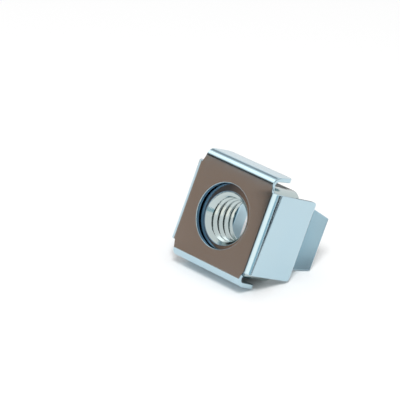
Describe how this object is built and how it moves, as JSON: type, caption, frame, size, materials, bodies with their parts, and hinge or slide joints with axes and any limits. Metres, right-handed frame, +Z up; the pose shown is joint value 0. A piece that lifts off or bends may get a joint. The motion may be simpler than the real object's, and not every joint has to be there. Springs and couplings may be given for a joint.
{
  "type": "rack cage nut",
  "caption": "Square nut held loosely in a folded spring steel cage whose lips clip it behind the square hole of a rack rail.",
  "frame": {"origin": "on the table under the middle of the part's bounding box, as it lies at rest", "axes": "+Z up; +Y is the horizontal direction from the face towards the lips, and the lips' ends point away along it; +X runs across the two legs. The thread axis lies in the YZ plane and points 24.2 degrees below +Y, because the loose part lies on the free edge of its lower flange and on the ends of its lips"},
  "size_m": [0.0128, 0.014, 0.0132],
  "materials": {
    "zinc_spring_steel": "bright zinc plated spring steel sheet with a pale blue tint",
    "zinc_steel": "zinc plated steel, turned faces and drawn flats"
  },
  "bodies": {
    "root": {"cage": "zinc_spring_steel", "nut": "zinc_steel"}
  },
  "joints": []
}
